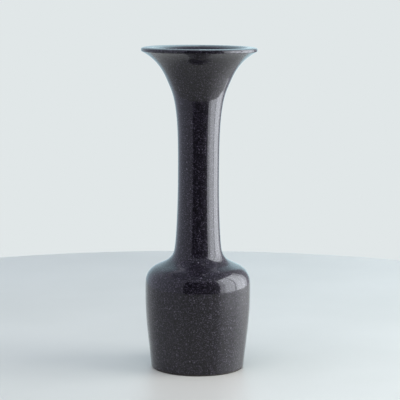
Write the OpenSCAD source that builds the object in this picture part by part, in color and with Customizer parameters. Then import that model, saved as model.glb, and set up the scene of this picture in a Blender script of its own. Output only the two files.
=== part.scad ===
// Tall stoneware vase: a tapering jar, a slim waisted neck and a flaring mouth.
// The outline is a chain of cubic curves through a few rings. Each ring has a diameter, a height
// above the ring below it, and the direction in which the wall passes through it.
// Every surface of the vase is that outline, or the outline moved in by a thickness.

/* [Foot] */
// Diameter of the wall where it meets the table
foot_d = 103.2; // [86:0.2:108]
// Direction of the wall at the foot, where 90 is upright and less leans out
foot_lean = 85; // [75:1:92]
// Width of the ring that the vase stands on
foot_ring_w = 7; // [4:0.5:12]
// Depth of the hollow inside the foot ring
foot_recess = 2.4; // [0.5:0.1:4]
// Bevel turned on the outer edge of the foot
foot_bevel = 0.8; // [0.3:0.1:2]
// Slope of the foot ring's inner side below level, in degrees
foot_slope = 50; // [35:1:80]
// Radius of the round between that side and the hollow's ceiling
foot_fillet = 2; // [0.5:0.1:4]
// Height at which the glaze stops above the table
glaze_line = 1.6; // [1:0.1:6]

/* [Jar] */
// Widest diameter of the jar
belly_d = 116.8; // [100:0.2:140]
// Height of the widest ring above the table
belly_rise = 82.2; // [60:0.2:110]
// Diameter of the ring halfway down the sloping shoulder
shoulder_d = 98.6; // [80:0.2:104]
// Height of that ring above the widest ring
shoulder_rise = 30.2; // [22:0.2:36]
// Direction of the shoulder, where 90 is upright and 180 is level
shoulder_slope = 145; // [130:1:160]

/* [Neck] */
// Diameter at the root of the neck
root_d = 53.2; // [44:0.2:64]
// Height of the root above the shoulder ring
root_rise = 18.6; // [14:0.2:26]
// Direction of the wall at the root
root_slope = 104; // [94:1:115]
// Diameter of the neck at its slimmest
waist_d = 45.4; // [38:0.2:52]
// Height of the slimmest ring above the root
waist_rise = 81; // [60:1:110]

/* [Mouth] */
// Diameter where the neck turns into the flare
throat_d = 62.8; // [54:0.2:74]
// Height of the throat above the slimmest ring
throat_rise = 100; // [75:1:130]
// Direction of the wall at the throat
throat_lean = 66.7; // [58:0.1:76]
// Diameter of the flare just under the lip
flare_d = 126.2; // [104:0.2:154]
// Height of that ring above the throat
flare_rise = 40; // [32:0.2:50]
// Direction of the wall under the lip
flare_lean = 27.3; // [20:0.1:45]
// Radius of the lip's lower edge
lip_under_r = 1.1; // [0.9:0.1:1.6]
// Radius of the lip's upper edge
lip_over_r = 1.2; // [0.9:0.1:1.6]
// How far the lip's outer face turns between its edges, in degrees
lip_face_turn = 24; // [12:1:40]
// How far inside the flare's edge the lip's crown lies, which is its highest line
crown_in = 4.9; // [4:0.1:9]
// Height of the crown above the ring under the lip
crown_rise = 4.8; // [4.4:0.1:6]
// Slope of the lip's top at its outer edge, in degrees
crown_slope = 25; // [18:1:35]
// Share of the flare below which the wall keeps the neck's thickness
rim_share = 0.3; // [0.1:0.05:0.6]

/* [Walls] */
// Thickness of the jar's wall at the foot, glaze included
jar_wall = 5.6; // [4:0.1:9]
// Thickness of the neck's wall where the rim starts to thicken, glaze included
neck_wall = 4.3; // [3.6:0.1:6]
// Thickness of the floor over the hollow in the foot, glaze included
floor_t = 6.5; // [4:0.1:10]
// Radius of the round between the floor and the wall inside
floor_fillet = 14; // [6:0.5:20]
// Thickness of each coat of glaze
glaze_t = 0.4; // [0.2:0.05:0.7]

/* [Joint] */
// Height of the joint above the root of the neck
joint_rise = 9; // [6:0.5:20]
// Depth of the step that keys the neck into the jar's collar
joint_step = 5; // [3:0.5:8]
// Thickness of the slip that fills the joint
slip_t = 0.5; // [0.3:0.1:1]

/* [Hidden] */
$fn = 96;

curve_steps = 20; // chords in each curve of the outline
arc_steps = 6; // chords in each round of the lip and the floor
spare = 1; // how far a cutting shape reaches past what it cuts

// Pull of each curve on the ring that it leaves and on the ring that it reaches, as a share of
// the distance between the two rings.
foot_pull = [0.35, 0.37];
crown_pull = [0.47, 0.4];
slope_pull = [0.27, 0.43];
neck_pull = [0.13, 0.3];
throat_pull = [0.44, 0.22];
flare_pull = [0.29, 0.45];
rim_pull = [0.2, 0.56]; // the inner curve from the neck's wall to the crown

belly_z = belly_rise;
shoulder_z = belly_z + shoulder_rise;
root_z = shoulder_z + root_rise;
waist_z = root_z + waist_rise;
throat_z = waist_z + throat_rise;
flare_z = throat_z + flare_rise;
joint_z = root_z + joint_rise;
floor_z = foot_recess + floor_t;
top_z = flare_z + crown_rise;

// Rings of the outline, from the foot up: radius, height, direction.
RINGS = [
    [foot_d / 2, 0, foot_lean],
    [belly_d / 2, belly_z, 90],
    [shoulder_d / 2, shoulder_z, shoulder_slope],
    [root_d / 2, root_z, root_slope],
    [waist_d / 2, waist_z, 90],
    [throat_d / 2, throat_z, throat_lean],
    [flare_d / 2, flare_z, flare_lean]
];
PULLS = [foot_pull, crown_pull, slope_pull, neck_pull, throat_pull, flare_pull];

function heading(angle) = [cos(angle), sin(angle)];
function place(ring) = [ring[0], ring[1]];

// Point at share t of the cubic curve from ring a to ring b.
function curve_point(a, b, pull, t) =
    let (
        span = norm(place(b) - place(a)),
        leave = place(a) + heading(a[2]) * pull[0] * span,
        reach = place(b) - heading(b[2]) * pull[1] * span
    )
    pow(1 - t, 3) * place(a) + 3 * pow(1 - t, 2) * t * leave
    + 3 * (1 - t) * t * t * reach + pow(t, 3) * place(b);

// Points of a round that starts at a point with a heading, and turns left to another heading. A
// round with a negative radius turns right.
function round_points(start, from, to, r) =
    let (centre = start + r * heading(from + 90))
    [for (i = [1:arc_steps]) centre + r * heading(from - 90 + (to - from) * i / arc_steps)];

function last(list) = list[len(list) - 1];

// The outer surface from the foot to the underside of the lip.
side = concat(
    [place(RINGS[0])],
    [for (k = [0:len(PULLS) - 1])
        for (i = [1:curve_steps])
            curve_point(RINGS[k], RINGS[k + 1], PULLS[k], i / curve_steps)]
);

// The unit normal that points out of the vase, at each point of the side.
function side_normal(i) =
    let (
        below = i == 0 ? side[0] - heading(foot_lean) : side[i - 1],
        above = i == len(side) - 1 ? side[i] + heading(flare_lean) : side[i + 1],
        along = (above - below) / norm(above - below)
    )
    [along[1], -along[0]];
normals = [for (i = [0:len(side) - 1]) side_normal(i)];

// The wall thins evenly with height, from the foot to the ring where the rim starts to thicken.
rim_start = len(side) - 1 - round((1 - rim_share) * curve_steps);
function wall_at(z) = jar_wall + (neck_wall - jar_wall) * z / side[rim_start][1];

// The side moved in by a depth that may depend on the height of the point.
function inset(depth, share) =
    [for (i = [0:len(side) - 1])
        side[i] - normals[i] * (depth + share * wall_at(side[i][1]))];

// The lip is four rounds: a small one under it, a shallow one as its face, a small one over it and
// a broad one that rises to the crown. The broad one's radius comes from how far in the crown lies,
// and the face's from what is left of the lip's height.
lip_headings = [flare_lean, 90 - lip_face_turn / 2, 90 + lip_face_turn / 2, 180 - crown_slope, 180];
function out_by(k, r) = r * (sin(lip_headings[k + 1]) - sin(lip_headings[k]));
function up_by(k, r) = r * (cos(lip_headings[k]) - cos(lip_headings[k + 1]));
crown_r = (crown_in + out_by(0, lip_under_r) + out_by(2, lip_over_r)) / sin(crown_slope);
face_r = (crown_rise - up_by(0, lip_under_r) - up_by(2, lip_over_r) - up_by(3, crown_r)) / up_by(1, 1);
lip_radii = [lip_under_r, face_r, lip_over_r, crown_r];

// Points round the lip to its crown, for a lip whose surface lies a depth under the glaze.
function lip_from(k, start, depth) =
    k == len(lip_radii) ? [] :
    let (arc = round_points(start, lip_headings[k], lip_headings[k + 1], lip_radii[k] - depth))
    concat(arc, lip_from(k + 1, last(arc), depth));
function lip_points(depth) = lip_from(0, last(side) - last(normals) * depth, depth);

// The inner side of the rim, from the neck's wall to the crown: a cubic curve between two rings.
rim_ring = concat(
    side[rim_start] - normals[rim_start] * wall_at(side[rim_start][1]),
    [atan2(normals[rim_start][0], -normals[rim_start][1])]
);
crown_ring = [flare_d / 2 - crown_in, top_z, 0];
function rim_point(t) = curve_point(rim_ring, crown_ring, rim_pull, t);

// Point at share t of that curve, moved into the clay by a depth.
function rim_inset(t, depth) =
    let (
        along = rim_point(t + 0.01) - rim_point(t - 0.01),
        into = [along[1], -along[0]] / norm(along)
    )
    rim_point(t) + into * depth;

// Inner surface from below the crown to the middle of the floor, a depth under the liner's surface.
function cavity(depth) =
    let (
        wall = inset(-depth, 1),
        r = floor_fillet + depth,
        low = floor_z - depth,
        round_top = low + r * (1 - cos(foot_lean)),
        corner = [radius_at(wall, round_top) - r * sin(foot_lean), low],
        bend = concat([corner], round_points(corner, 0, foot_lean, r))
    )
    concat(
        [for (i = [curve_steps - 1:-1:1]) rim_inset(i / curve_steps, depth)],
        [for (i = [rim_start:-1:0]) if (wall[i][1] > round_top + 0.5) wall[i]],
        [for (i = [len(bend) - 1:-1:0]) bend[i]],
        [[0, low]]
    );

// Radius of a line of points at a height.
function radius_at(line, z) = lookup(z, [for (p = line) [p[1], p[0]]]);

// The part of a line of points that lies above a height, starting exactly at that height.
function from_height(line, z) =
    concat([[radius_at(line, z), z]], [for (p = line) if (p[1] > z + 0.2) p]);

skin = inset(0, 0);
clay = inset(glaze_t, 0);
reach_r = max([for (p = concat(skin, lip_points(0))) p[0]]) + spare;
joint_mid_r = radius_at(clay, joint_z) - (wall_at(joint_z) - 2 * glaze_t) / 2;
foot_r = radius_at(clay, foot_bevel) - foot_bevel;

// Underside from the middle of the hollow to the ring: ceiling, round and sloping side. The
// round is never deeper than the hollow.
hollow_r = min(foot_fillet, 0.9 * foot_recess / (1 - cos(foot_slope)));
hollow_side = (foot_recess - hollow_r * (1 - cos(foot_slope))) / tan(foot_slope);
hollow_edge = [foot_r - foot_ring_w - hollow_side - hollow_r * sin(foot_slope), foot_recess];
underside = concat(
    [[0, foot_recess], hollow_edge],
    round_points(hollow_edge, 0, -foot_slope, -hollow_r)
);

// Half section of the fired clay, jar and neck together.
module clay_section() {
    polygon(concat(
        underside,
        [[foot_r - foot_ring_w, 0], [foot_r, 0]],
        from_height(clay, foot_bevel),
        lip_points(glaze_t),
        cavity(glaze_t)
    ));
}

// Half plane on the jar's side of the stepped joint.
module jar_side() {
    polygon([
        [0, -spare],
        [reach_r, -spare],
        [reach_r, joint_z],
        [joint_mid_r, joint_z],
        [joint_mid_r, joint_z - joint_step],
        [0, joint_z - joint_step]
    ]);
}

// Half plane on the neck's side of the joint, a thickness of slip away from the jar's side.
module neck_side() {
    polygon([
        [0, joint_z - joint_step + slip_t],
        [joint_mid_r - slip_t, joint_z - joint_step + slip_t],
        [joint_mid_r - slip_t, joint_z + slip_t],
        [reach_r, joint_z + slip_t],
        [reach_r, top_z + spare],
        [0, top_z + spare]
    ]);
}

// Lower thrown section: foot ring, floor, wall, shoulder and a short collar with a step in it.
module jar() {
    color([0.30, 0.27, 0.25])
        rotate_extrude()
            intersection() {
                clay_section();
                jar_side();
            }
}

// Upper thrown section: a spigot that keys into the collar, the neck, the flare and the lip.
module neck() {
    color([0.32, 0.29, 0.27])
        rotate_extrude()
            intersection() {
                clay_section();
                neck_side();
            }
}

// Ring of slip that bonds the neck to the jar, on both flats and the upright of the step.
module joint_slip() {
    color([0.42, 0.38, 0.34])
        rotate_extrude()
            difference() {
                clay_section();
                jar_side();
                neck_side();
            }
}

// Speckled charcoal glaze on the outside, from the glaze line over the lip to its inner edge.
module outer_glaze() {
    edge = glaze_line + glaze_t;
    coat = concat(from_height(skin, edge), lip_points(0));
    under = concat(from_height(clay, glaze_line), lip_points(glaze_t));
    color([0.13, 0.13, 0.15])
        rotate_extrude()
            polygon(concat(coat, [for (i = [len(under) - 1:-1:0]) under[i]]));
}

// The same glaze poured inside, from the inner edge of the lip down and over the floor.
module liner_glaze() {
    coat = concat([last(lip_points(0))], cavity(0));
    under = concat([last(lip_points(glaze_t))], cavity(glaze_t));
    color([0.16, 0.16, 0.18])
        rotate_extrude()
            polygon(concat(under, [for (i = [len(coat) - 1:-1:0]) coat[i]]));
}

jar();
neck();
joint_slip();
outer_glaze();
liner_glaze();
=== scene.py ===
"""A tall stoneware vase in speckled charcoal glaze, on a plain pale round floor in soft window light.

The two coats of glaze are turned again here from the vase's own outline, finer than the frame has
them, with the slight waves that throwing leaves in a wall and the roll that glaze makes where it
stops above the foot. Clay and slip stay as the frame has them. Lengths in this file are in
millimetres until a mesh, a light or the camera is made.
"""

import bpy
import numpy as np
from mathutils import Matrix, Vector


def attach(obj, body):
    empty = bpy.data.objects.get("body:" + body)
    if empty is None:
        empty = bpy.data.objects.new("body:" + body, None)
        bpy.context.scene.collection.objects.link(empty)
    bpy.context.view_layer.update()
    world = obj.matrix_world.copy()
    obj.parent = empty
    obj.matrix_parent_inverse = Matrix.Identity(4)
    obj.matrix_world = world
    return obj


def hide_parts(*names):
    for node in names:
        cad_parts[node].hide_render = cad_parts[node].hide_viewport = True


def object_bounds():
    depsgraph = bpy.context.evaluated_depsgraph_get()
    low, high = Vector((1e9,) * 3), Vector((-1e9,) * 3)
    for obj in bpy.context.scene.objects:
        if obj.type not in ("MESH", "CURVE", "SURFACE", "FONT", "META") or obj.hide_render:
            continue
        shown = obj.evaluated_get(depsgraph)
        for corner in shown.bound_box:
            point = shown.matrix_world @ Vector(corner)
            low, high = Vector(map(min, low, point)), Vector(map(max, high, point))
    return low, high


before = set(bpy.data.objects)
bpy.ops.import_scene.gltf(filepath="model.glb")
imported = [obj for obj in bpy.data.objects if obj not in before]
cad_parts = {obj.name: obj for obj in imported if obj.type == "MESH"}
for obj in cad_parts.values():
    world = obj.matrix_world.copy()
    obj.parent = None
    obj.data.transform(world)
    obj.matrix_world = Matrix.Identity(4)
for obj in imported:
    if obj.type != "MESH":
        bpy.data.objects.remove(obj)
cad_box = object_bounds()
MM = 0.001
HEIGHT = cad_box[1][2] / MM

# Rings of the outline from the foot up: radius, height, and the direction of the wall through
# the ring in degrees, where 90 is upright and less leans out.
RINGS = np.array([
    [51.6, 0.0, 85.0],
    [58.4, 82.2, 90.0],
    [49.3, 112.4, 145.0],
    [26.6, 131.0, 104.0],
    [22.7, 212.0, 90.0],
    [31.4, 312.0, 66.7],
    [63.1, 352.0, 27.3],
])
# Pull of each curve on the ring that it leaves and on the ring that it reaches, as a share of
# the distance between them.
PULLS = np.array([[0.35, 0.37], [0.47, 0.4], [0.27, 0.43], [0.13, 0.3], [0.44, 0.22], [0.29, 0.45]])

LIP_UNDER, LIP_OVER = 1.1, 1.2  # radii of the lip's lower and upper edges
LIP_FACE_TURN = 24.0  # degrees that the lip's face turns between them
CROWN_IN, CROWN_RISE = 4.9, 4.8  # how far the lip's highest line lies in from the last ring, and over it
CROWN_R = RINGS[-1, 0] - CROWN_IN
CROWN_SLOPE = 25.0  # slope of the lip's top at its outer edge
RIM_SHARE = 0.3  # share of the flare below which the wall keeps the neck's thickness
RIM_PULL = (0.2, 0.56)  # pulls of the inner curve from the wall up to the crown
FOOT_WALL, NECK_WALL = 5.6, 4.3  # wall thickness at the foot and under the rim, glaze included
FLOOR_Z = 8.9  # top of the floor inside
FLOOR_ROUND = 14.0  # radius between the floor and the wall
GLAZE = 0.4  # thickness of a coat
GLAZE_LINE = 1.6  # height at which the outer coat stops

CURVE_STEPS = 200  # points worked out in each cubic curve
SECTORS = 192  # steps round the vase
FINE, FINE_TURN = 1.2, 5.0  # longest step and largest turn along a surface that shows
COARSE, COARSE_TURN = 7.0, 15.0  # the same along the back of a coat
SHARP_EDGE = 50.0  # a sharper corner than this, in degrees, is shaded as an edge
TURNING_STEP = 0.62  # distance between the fine rings that turning leaves in the foot
WAVE_HIGH = 0.02  # height of the waves that fingers leave in the wall
WAVE_LONG, WAVE_SHORT = 12.7, 7.3  # distance between one wave and the next, for the two sets
WAVE_START, WAVE_END, WAVE_FADE = 6.0, 12.0, 20.0  # plain stretch at each end, and the fade beside it
OUT_OF_ROUND = 0.12  # how far the oval of the mouth stands out from a true round
GLAZE_ROLL = 0.7  # height over which the outer coat thickens from nothing at its edge
GLAZE_DRIFT = 0.35  # how far the edge wanders up and down
GLAZE_DRIFT_FADE = 2.5  # height over which that wandering dies away

FLOOR_R = 1.90 * HEIGHT  # the round floor, whose far edge is the horizon behind the vase
FLOOR_BACK = 0.28 * HEIGHT  # how far its centre lies behind the vase
FLOOR_DEEP, FLOOR_EDGE = 30.0, 4.0  # its thickness, and the radius of its edge

# The tall window on the vase's right: its distance, its lower and upper ends, its tint, and its
# panes, each from one line of sight to another with a brightness. The lines are angles round the
# vase in degrees, from straight towards the camera to straight behind.
WINDOW_AWAY, WINDOW_FOOT, WINDOW_TOP = 1600.0, -700.0, 2100.0
WINDOW_TINT = (0.96, 1.0, 1.06)
WINDOW_PANES = (
    ("first_pane", 50, 62, 3.8),
    ("second_pane", 62, 89, 6.9),
    ("third_pane", 91.5, 108, 7.2),
    ("fourth_pane", 108, 124, 5.0),
    ("last_pane", 124, 136, 2.2),
)
# Soft lights: place, length of a side, brightness.
SOFT_LIGHTS = (
    ("daylight", (1650, -250, 600), 1300, 5.8),
    ("room_light", (-300, -1100, 2600), 2400, 1.9),
)
# Brightness of the room round the vase, by its parts as the vase reflects them.
SCREEN_NEAR, SCREEN_SIDE, SCREEN_BACK = (0.64, 0.64, 0.78, 1), (0.76, 0.80, 0.96, 1), (0.58, 0.76, 0.86, 1)
CAMERA_SIDE, WINDOW_WALL = (0.03, 0.03, 0.04, 1), (0.45, 0.45, 0.52, 1)
BACK_LOW, BACK_HIGH = (0.76, 0.99, 1.08, 1), (0.98, 1.32, 1.48, 1)
CEILING, LINTEL = (0.36, 0.37, 0.47, 1), (0.8, 0.8, 0.95, 1)
BACKDROP = (0.753, 0.799, 0.807, 1)  # what shows behind the vase

CAMERA_AWAY, CAMERA_UP = 1813.3, 436.0  # how far before the vase the camera stands, and how high
CAMERA_LEAN = 0.373  # degrees that it leans over
AIM = (1.85, 0.0, 187.8)  # what it points at
LENS = 148.6


def heading(angle):
    """Unit vector in the section's plane at an angle in degrees above straight out."""
    turn = np.radians(angle)
    return np.stack([np.cos(turn), np.sin(turn)], axis=-1)


def curve(low, high, pull):
    """Points on the cubic curve between two rings, without the first: it leaves and reaches them
    in their own directions, and runs the straighter the weaker its two pulls are."""
    t = np.linspace(0.0, 1.0, CURVE_STEPS + 1)[1:, None]
    span = np.linalg.norm(high[:2] - low[:2])
    start, end = low[:2], high[:2]
    leave = start + heading(low[2]) * pull[0] * span
    reach = end - heading(high[2]) * pull[1] * span
    s = 1 - t
    return s**3 * start + 3 * s**2 * t * leave + 3 * s * t**2 * reach + t**3 * end


def side():
    """The wall's outer surface in section, from the foot to the underside of the lip: a cubic
    curve between each two rings."""
    curves = [curve(low, high, pull) for low, high, pull in zip(RINGS, RINGS[1:], PULLS)]
    return np.concatenate([RINGS[:1, :2], *curves])


def normals(path):
    """Unit normals on the right-hand side of a path, which is the outside of a wall that rises."""
    along = np.gradient(path, axis=0)
    along /= np.linalg.norm(along, axis=1, keepdims=True)
    return np.stack([along[:, 1], -along[:, 0]], axis=-1)


def round_off(start, begin, end, radius, steps=16):
    """A round that leaves a point in the direction begin and turns left to the direction end."""
    centre = start + radius * heading(begin + 90)
    return centre + radius * heading(np.linspace(begin, end, steps + 1)[1:] - 90)


def lip(start, depth):
    """Four rounds that carry a surface over the lip: under it, its face, over it and up to the
    crown. The last one has the radius that ends on the crown's ring, and the face has the radius
    that makes the four together as high as the lip."""
    turns = np.array([RINGS[-1, 2], 90 - LIP_FACE_TURN / 2, 90 + LIP_FACE_TURN / 2, 180 - CROWN_SLOPE, 180])
    out, up = np.diff(heading(turns), axis=0).T[::-1] * [[1], [-1]]
    crown = (RINGS[-1, 0] + LIP_UNDER * out[0] + LIP_OVER * out[2] - CROWN_R) / -out[3]
    face = (CROWN_RISE - LIP_UNDER * up[0] - LIP_OVER * up[2] - crown * up[3]) / up[1]
    path = start[None]
    for begin, end, radius in zip(turns, turns[1:], (LIP_UNDER, face, LIP_OVER, crown)):
        path = np.concatenate([path, round_off(path[-1], begin, end, radius - depth)])
    return path


def outside(depth):
    """Outer surface from the foot to the crown of the lip, a depth under the glaze."""
    wall = side()
    wall = wall - depth * normals(wall)
    return np.concatenate([wall[:-1], lip(wall[-1], depth)])


def inside(depth):
    """Inner surface from the middle of the floor up to the crown, a depth under the glaze. The
    wall meets the floor in a round, thins evenly with height up to the rim, and thickens there
    along one more cubic curve."""
    wall = side()
    rim = len(wall) - 1 - round((1 - RIM_SHARE) * CURVE_STEPS)
    out = normals(wall)[:rim + 1]
    thickness = FOOT_WALL + (NECK_WALL - FOOT_WALL) * wall[:rim + 1, 1] / wall[rim, 1]
    wall = wall[:rim + 1] - thickness[:, None] * out
    low = np.append(wall[-1], np.degrees(np.arctan2(out[-1, 0], -out[-1, 1])))
    wall = np.concatenate([wall, curve(low, np.array([CROWN_R, RINGS[-1, 1] + CROWN_RISE, 0]), RIM_PULL)])
    wall = wall + depth * normals(wall)
    radius, base, lean = FLOOR_ROUND + depth, FLOOR_Z - depth, RINGS[0, 2]
    top = base + radius * (1 - np.cos(np.radians(lean)))
    corner = np.array([np.interp(top, wall[:, 1], wall[:, 0]) - radius * np.sin(np.radians(lean)), base])
    rise = wall[wall[:, 1] > top + 0.3][:-1]
    floor = np.array([[0.0, base], corner])
    return np.concatenate([floor, round_off(corner, 0, lean, radius), rise, outside(depth)[-1:]])


def lengths(path):
    """Distance along a path at each of its points."""
    return np.concatenate([[0.0], np.cumsum(np.linalg.norm(np.diff(path, axis=0), axis=1))])


def evenly(path, step, turn):
    """The path again in points a step apart, and closer where it would turn by more than a given
    number of degrees in a step."""
    along = lengths(path)
    tangent = np.gradient(path, axis=0)
    bend = np.unwrap(np.arctan2(tangent[:, 1], tangent[:, 0]))
    effort = along / step
    effort[1:] += np.cumsum(np.abs(np.diff(bend))) / np.radians(turn)
    wanted = np.linspace(0.0, effort[-1], int(np.ceil(effort[-1])) + 1)
    at = np.interp(wanted, effort, along)
    return np.stack([np.interp(at, along, path[:, k]) for k in (0, 1)], axis=-1)


def from_height(path, z):
    """The part of a rising path above a height, starting exactly there."""
    start = np.array([[np.interp(z, path[:CURVE_STEPS, 1], path[:CURVE_STEPS, 0]), z]])
    above = np.argmax(path[:, 1] > z)
    return np.concatenate([start, path[above:]])


def throwing(along, turn):
    """Height of the waves that fingers leave in a wall: two that climb round the vase in opposite
    spirals, both dying away near the ends of the path."""
    ends = np.clip(np.minimum(along - WAVE_START, along[-1] - along - WAVE_END) / WAVE_FADE, 0, 1)
    short = np.cos(2 * np.pi * along / WAVE_SHORT - turn)
    long = np.cos(2 * np.pi * along / WAVE_LONG + turn)
    return WAVE_HIGH * ends * (0.6 * short + 0.4 * long)


def lathe(name, loop, height_over, wander=0.0):
    """A closed piece turned about the Z axis. The loop is its section, anticlockwise, as rows of
    radius and height; height_over gives how far each ring stands out along the section's normal.
    A loop that starts and ends on the axis is closed there by fans of triangles. Every ring is
    also slightly oval, by a wave of two crests that grows with height, and near the glaze line
    it rises and falls by wander times a sum of waves round the vase."""
    turn = np.arange(SECTORS) * 2 * np.pi / SECTORS
    out = normals(loop)[:, None]
    place = loop[:, None] + out * height_over(lengths(loop)[:, None], turn)[..., None]
    radius = place[..., 0] + OUT_OF_ROUND * np.cos(2 * turn - 0.7) * place[..., 1] / HEIGHT
    radius = np.where(loop[:, :1] == 0, 0, radius)
    near = np.exp(-np.maximum(place[..., 1] - GLAZE_LINE, 0) / GLAZE_DRIFT_FADE)
    crest = 0.5 * np.sin(3 * turn + 1) + 0.3 * np.sin(7 * turn) + 0.2 * np.sin(16 * turn + 2)
    rise = place[..., 1] + wander * near * crest
    points = np.stack([radius * np.cos(turn), radius * np.sin(turn), rise], axis=-1) * MM

    index = np.arange(points[..., 0].size).reshape(points.shape[:2])
    fans = []
    if loop[0, 0] == 0:
        for pole, rim, flip in ((0, index[1], -1), (index[-1, 0], index[-2], 1)):
            hub = np.full(SECTORS, pole)
            fans += np.stack([hub, rim, np.roll(rim, -1)], axis=-1)[:, ::flip].tolist()
        index = index[1:-1]
    else:
        index = np.concatenate([index, index[:1]])
    low, high = index[:-1], index[1:]
    quads = np.stack([low, np.roll(low, -1, 1), np.roll(high, -1, 1), high], axis=-1)
    mesh = bpy.data.meshes.new(name)
    mesh.from_pydata(points.reshape(-1, 3), [], quads.reshape(-1, 4).tolist() + fans)
    mesh.shade_smooth()
    mesh.set_sharp_from_angle(angle=np.radians(SHARP_EDGE))
    piece = bpy.data.objects.new(name, mesh)
    bpy.context.scene.collection.objects.link(piece)
    return piece


def make_outer_coat():
    """The coat outside: it thickens in a quarter round from the glaze line, runs over the lip and
    comes back along the clay."""
    skin = from_height(outside(0), GLAZE_LINE)
    thin = 1 - np.clip(lengths(skin) / GLAZE_ROLL, 0, 1)
    sunk = GLAZE * (1 - np.sqrt(1 - thin**2))
    skin = evenly(skin - sunk[:, None] * normals(skin), FINE, FINE_TURN)
    back = evenly(from_height(outside(GLAZE), GLAZE_LINE), COARSE, COARSE_TURN)[:0:-1]
    show = len(skin)

    def height_over(along, turn):
        waves = throwing(along[:show], turn)
        return np.concatenate([waves, np.zeros((len(along) - show, SECTORS))])

    return lathe("outer_coat", np.concatenate([skin, back]), height_over, GLAZE_DRIFT)


def make_liner_coat():
    """The coat inside, from the middle of the floor to the lip, and its back along the clay."""
    skin = evenly(inside(0), FINE, FINE_TURN)[::-1]
    back = evenly(inside(GLAZE), COARSE, COARSE_TURN)
    hidden = len(back)

    def height_over(along, turn):
        waves = throwing(along[hidden:] - along[hidden], turn)
        return np.concatenate([np.zeros((hidden, SECTORS)), waves])

    return lathe("liner_coat", np.concatenate([back, skin]), height_over)


class Value:
    """A node's output. Arithmetic on it adds Math nodes."""

    def __init__(self, finish, output):
        self.finish, self.output = finish, output

    def beside(self, name):
        """Another output of the same node."""
        return Value(self.finish, self.output.node.outputs[name])

    def math(self, operation, *others):
        sockets = dict(enumerate((self, *others)))
        return self.finish.node("ShaderNodeMath", {"operation": operation}, sockets)

    def __add__(self, other):
        return self.math("ADD", other)

    def __mul__(self, other):
        return self.math("MULTIPLY", other)

    def __sub__(self, other):
        return self.math("SUBTRACT", other)

    def __rsub__(self, other):
        return self * -1 + other

    def __truediv__(self, other):
        return self.math("DIVIDE", other)

    def below(self, limit):
        return self.math("LESS_THAN", limit)

    __radd__, __rmul__ = __add__, __mul__

    def ramp(self, low, high):
        """0 where the value is at low, 1 where it is at high, and a smooth step between."""
        settings = {"interpolation_type": "SMOOTHSTEP"}
        return self.finish.node("ShaderNodeMapRange", settings, {0: self, 1: low, 2: high})


class Finish:
    """A node tree being built, for a material or for the world."""

    def __init__(self, owner):
        owner.use_nodes = True
        self.owner, self.tree = owner, owner.node_tree
        self.tree.nodes.clear()

    def node(self, kind, settings=(), sockets=(), output=0):
        """Adds a node, sets its settings and then its sockets, and returns one of its outputs."""
        made = self.tree.nodes.new(kind)
        for name, value in dict(settings).items():
            setattr(made, name, value)
        for name, value in dict(sockets).items():
            if isinstance(value, Value):
                self.tree.links.new(value.output, made.inputs[name])
            else:
                made.inputs[name].default_value = value
        return Value(self, made.outputs[output]) if made.outputs else None

    def mix(self, share, first, second):
        """A colour between two colours."""
        settings = {"data_type": "RGBA"}
        return self.node("ShaderNodeMix", settings, {0: share, 6: first, 7: second}, output=2)

    def place(self):
        return self.node("ShaderNodeTexCoord", output="Object")

    def noise(self, place, size, detail=2.0):
        """Noise from 0 to 1 whose largest lumps are of a size in millimetres."""
        sockets = {"Vector": place, "Scale": 1 / (size * MM), "Detail": detail}
        return self.node("ShaderNodeTexNoise", sockets=sockets)

    def specks(self, place, spacing, size, share):
        """Round specks of up to a size, in millimetres: one in each cell of a pattern with that
        spacing, in a share of its cells, each from faint to full strength."""
        sockets = {"Vector": place, "Scale": 1 / (spacing * MM)}
        away = self.node("ShaderNodeTexVoronoi", sockets=sockets)
        luck = self.node("ShaderNodeSeparateColor", sockets={0: away.beside("Color")})
        reach = size / spacing / 2 * (0.4 + 0.6 * luck.beside("Green"))
        strength = luck.below(share) * (0.3 + 0.7 * luck.beside("Blue"))
        return (1 - (away / reach).ramp(0.75, 1.1)) * strength

    def principled(self, **sockets):
        named = {name.replace("_", " "): value for name, value in sockets.items()}
        shader = self.node("ShaderNodeBsdfPrincipled", sockets=named)
        self.node("ShaderNodeOutputMaterial", sockets={"Surface": shader})
        return self.owner


def glaze_finish():
    """Satin charcoal glaze: a soft dark base full of fine grains, paler specks and a few large
    flecks, under a clear glossy coat that is thinner over the flecks. The base drifts a little
    between a warmer and a cooler black, with fine grit through it."""
    glaze = Finish(bpy.data.materials.new("charcoal_glaze"))
    place = glaze.place()
    drift = glaze.noise(place, 34).ramp(0.35, 0.65)
    base = glaze.mix(drift, (0.0014, 0.0012, 0.0024, 1), (0.0024, 0.0020, 0.0034, 1))
    grit = glaze.noise(place, 1.6, detail=3).ramp(0.42, 0.62)
    grains = glaze.specks(place, 1.2, 1.25, 0.8)
    specks = glaze.specks(place, 1.75, 1.55, 0.5)
    flecks = glaze.specks(place, 4.4, 1.9, 0.35)
    base = glaze.mix(grit, base, (0.010, 0.008, 0.014, 1))
    base = glaze.mix(grains, base, (0.065, 0.057, 0.082, 1))
    base = glaze.mix(specks, base, (0.095, 0.085, 0.116, 1))
    base = glaze.mix(flecks, base, (0.150, 0.140, 0.172, 1))
    texture = glaze.noise(place, 0.9, detail=3)
    bump = glaze.node("ShaderNodeBump", sockets={"Strength": 0.3, "Distance": 0.12 * MM, "Height": texture})
    return glaze.principled(
        Base_Color=base,
        Roughness=0.36 + 0.1 * texture - 0.1 * grains,
        IOR=1.2,
        Normal=bump,
        Coat_Weight=1.0 - 0.3 * flecks,
        Coat_Roughness=0.06,
        Coat_IOR=1.40,
    )


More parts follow.
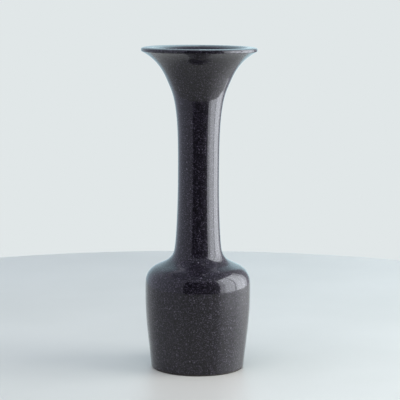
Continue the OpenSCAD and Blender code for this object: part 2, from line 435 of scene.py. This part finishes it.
def clay_finish():
    """Bare dark stoneware: dry, slightly gritty, with fine rings from turning on the wheel and
    pale and dark grog showing through."""
    clay = Finish(bpy.data.materials.new("dark_stoneware"))
    place = clay.place()
    axes = clay.node("ShaderNodeSeparateXYZ", sockets={0: place})
    across, deep = axes, axes.beside("Y")
    radius = (across * across + deep * deep).math("POWER", 0.5)
    blotch = clay.noise(place, 9, detail=4).ramp(0.3, 0.7)
    grit = clay.noise(place, 0.7, detail=4)
    base = clay.mix(blotch, (0.030, 0.026, 0.024, 1), (0.046, 0.038, 0.034, 1))
    base = clay.mix(clay.specks(place, 1.5, 0.8, 0.4) * 0.6, base, (0.16, 0.14, 0.12, 1))
    base = clay.mix(clay.specks(place, 2.3, 0.9, 0.4) * 0.7, base, (0.010, 0.009, 0.009, 1))
    rings = (radius * (2 * np.pi / (TURNING_STEP * MM)) + grit).math("SINE")
    height = rings * 0.35 + grit
    bump = clay.node("ShaderNodeBump", sockets={"Strength": 0.6, "Distance": 0.15 * MM, "Height": height})
    return clay.principled(Base_Color=base, Roughness=0.74 + 0.16 * grit, IOR=1.5, Normal=bump)


def slip_finish():
    """Fired slip of the same clay, a little paler and finer."""
    slip = Finish(bpy.data.materials.new("fired_slip"))
    place = slip.place()
    grit = slip.noise(place, 1.1, detail=4)
    base = slip.mix(grit.ramp(0.3, 0.7), (0.050, 0.042, 0.037, 1), (0.070, 0.060, 0.052, 1))
    bump = slip.node("ShaderNodeBump", sockets={"Strength": 0.4, "Distance": 0.1 * MM, "Height": grit})
    return slip.principled(Base_Color=base, Roughness=0.8 + 0.1 * grit, Normal=bump)


def wear(piece, finish):
    piece.data.materials.clear()
    piece.data.materials.append(finish)


def make_floor():
    """A plain pale disc with a rounded edge."""
    flat = FLOOR_R - FLOOR_EDGE
    edge = round_off(np.array([flat, -2 * FLOOR_EDGE]), 0, 180, FLOOR_EDGE)
    loop = np.concatenate([[[0, -FLOOR_DEEP], [flat, -FLOOR_DEEP]], edge, [[0.0, 0.0]]])
    floor = lathe("floor", loop, lambda along, turn: np.zeros((len(along), SECTORS)))
    floor.data.transform(Matrix.Translation((0, FLOOR_BACK * MM, 0)))
    finish = Finish(bpy.data.materials.new("pale_floor"))
    tone = finish.noise(finish.place(), 220, detail=3).ramp(0.3, 0.7)
    base = finish.mix(tone, (0.625, 0.632, 0.580, 1), (0.665, 0.672, 0.620, 1))
    wear(floor, finish.principled(Base_Color=base, Roughness=0.4))


def hang(light, place, facing):
    """Hangs a light at a place, facing a way, where the camera doesn't see it."""
    lamp = bpy.data.objects.new(light.name, light)
    lamp.location = Vector(place) * MM
    lamp.rotation_euler = Vector(facing).to_track_quat("-Z", "Y").to_euler()
    lamp.visible_camera = False
    bpy.context.scene.collection.objects.link(lamp)
    return lamp


def make_pane(name, near, far, brightness):
    """A pane of the window, between two lines of sight from the vase. It shows in reflections,
    and leaves what is rough to the soft lights."""
    front, back = (-WINDOW_AWAY / np.tan(np.radians(angle)) for angle in (near, far))
    pane = bpy.data.lights.new(name, "AREA")
    pane.shape = "RECTANGLE"
    pane.size, pane.size_y = (back - front) * MM, (WINDOW_TOP - WINDOW_FOOT) * MM
    pane.energy = brightness * np.pi * pane.size * pane.size_y
    pane.color = WINDOW_TINT
    middle = (WINDOW_AWAY, (front + back) / 2, (WINDOW_TOP + WINDOW_FOOT) / 2)
    hang(pane, middle, (-1, 0, 0)).visible_diffuse = False


def make_soft_light(name, place, side, brightness):
    """A square soft light aimed at the vase. It lights what is rough and shows in no reflection."""
    light = bpy.data.lights.new(name, "AREA")
    light.size = side * MM
    light.energy = brightness * np.pi * light.size**2
    hang(light, place, -Vector(place)).visible_glossy = False


def make_world():
    """The room round the vase: pale behind it, a white screen on its left, dark where the camera
    stands, and a dim ceiling with a paler lintel along it. Its parts meet at angles in degrees:
    round the vase from straight towards the camera, with the right positive, and above level."""
    world = bpy.data.worlds.new("studio")
    bpy.context.scene.world = world
    room = Finish(world)
    look = room.node("ShaderNodeTexCoord", output="Generated")
    axes = room.node("ShaderNodeSeparateXYZ", sockets={0: look})
    round_vase = axes.math("ARCTAN2", -1 * axes.beside("Y")) * (180 / np.pi)
    above = axes.beside("Z").math("ARCSINE") * (180 / np.pi)
    screen = room.mix(round_vase.ramp(-34, -90), SCREEN_NEAR, SCREEN_SIDE)
    screen = room.mix(round_vase.ramp(-120, -160), screen, SCREEN_BACK)
    walls = room.mix(round_vase.ramp(-32.5, -30.5), screen, CAMERA_SIDE)
    walls = room.mix(round_vase.ramp(44, 54), walls, WINDOW_WALL)
    back = room.mix(above.ramp(8, 24), BACK_LOW, BACK_HIGH)
    walls = room.mix(round_vase.ramp(154, 164), walls, back)
    lintel = above.ramp(48, 51) * (1 - above.ramp(53, 56))
    ceiling = room.mix(lintel, CEILING, LINTEL)
    seen = room.mix(above.ramp(42, 50), walls, ceiling)
    camera_ray = room.node("ShaderNodeLightPath", output="Is Camera Ray")
    tone = room.mix(camera_ray, seen, BACKDROP)
    light = room.node("ShaderNodeBackground", sockets={"Color": tone, "Strength": 1.0})
    room.node("ShaderNodeOutputWorld", sockets={"Surface": light})


def make_camera():
    """The camera stands well back and a little above the mouth, and leans over slightly."""
    camera = bpy.data.objects.new("camera", bpy.data.cameras.new("camera"))
    camera.location = Vector((0, -CAMERA_AWAY, CAMERA_UP)) * MM
    aim = Vector(AIM) * MM - camera.location
    turned = aim.to_track_quat("-Z", "Y").to_matrix() @ Matrix.Rotation(np.radians(CAMERA_LEAN), 3, "Z")
    camera.rotation_euler = turned.to_euler()
    camera.data.lens = LENS
    camera.data.clip_end = 20
    bpy.context.scene.collection.objects.link(camera)
    bpy.context.scene.camera = camera


glaze, clay, slip = glaze_finish(), clay_finish(), slip_finish()
outer_coat, liner_coat = make_outer_coat(), make_liner_coat()
for coat, node in ((outer_coat, "outer_glaze"), (liner_coat, "liner_glaze")):
    wear(coat, glaze)
    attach(coat, "root")
    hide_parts(node)
for node, finish in (("jar", clay), ("neck", clay), ("joint_slip", slip)):
    wear(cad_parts[node], finish)

make_floor()
make_world()
for pane in WINDOW_PANES:
    make_pane(*pane)
for light in SOFT_LIGHTS:
    make_soft_light(*light)
make_camera()
bpy.context.scene.view_settings.view_transform = "Standard"
